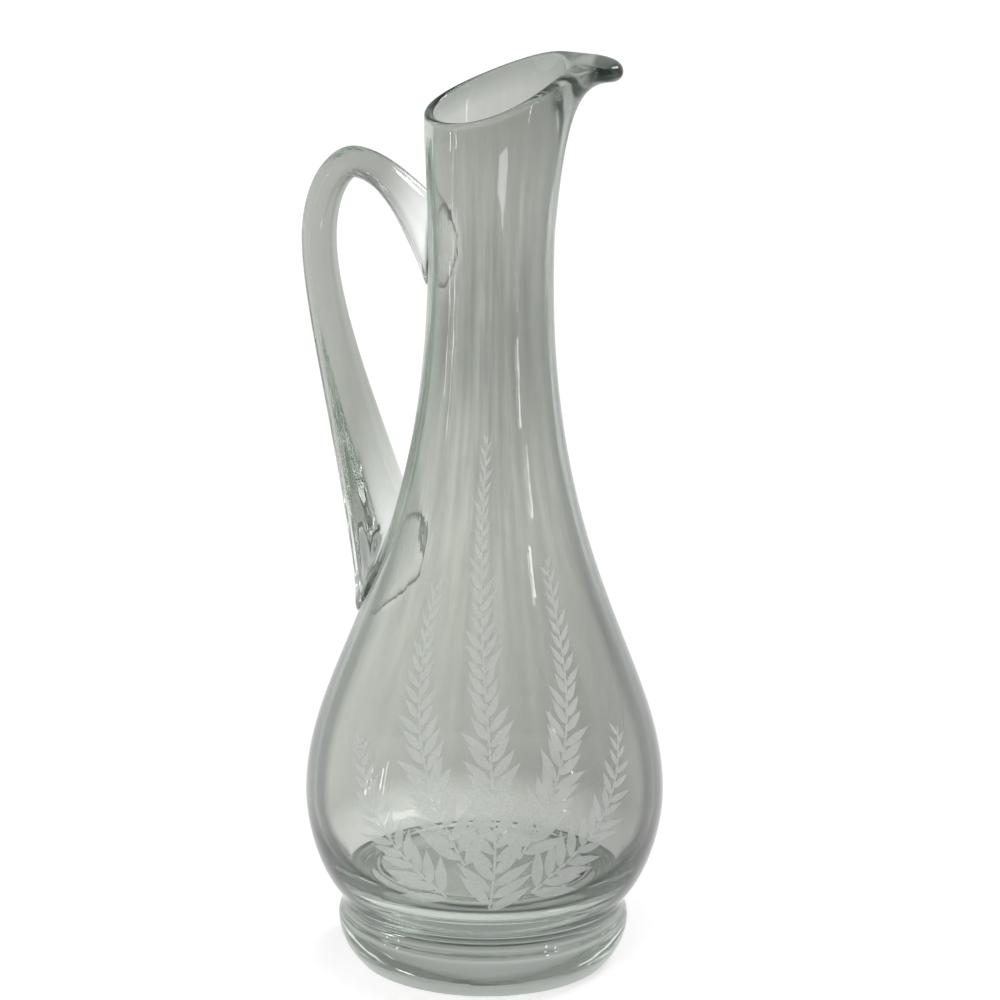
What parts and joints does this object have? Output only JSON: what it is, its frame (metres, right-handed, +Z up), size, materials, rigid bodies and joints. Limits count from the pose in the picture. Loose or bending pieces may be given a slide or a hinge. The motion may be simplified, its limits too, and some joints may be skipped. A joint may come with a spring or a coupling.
{
  "type": "bar carafe",
  "caption": "Hand-blown clear glass carafe with a bulbous belly, a long neck, a slanted mouth with a pulled pouring lip, a solid foot and an applied loop handle.",
  "frame": {"origin": "middle of the flat face that the carafe stands on, on the vessel's own axis", "axes": "+Z up along the vessel's axis, +X towards the pouring lip; the handle stands on the -X side, turned a little towards +Y"},
  "size_m": [0.1194, 0.1124, 0.298],
  "materials": {
    "vessel_glass": "clear blown soda glass with a faint grey-green tint, fire polished, with frosted engraving on the front",
    "foot_glass": "clear solid glass, grey-green where it is thick",
    "handle_glass": "clear drawn glass rod, fire polished"
  },
  "bodies": {
    "root": {"vessel": "vessel_glass", "foot": "foot_glass", "handle": "handle_glass"}
  },
  "joints": []
}
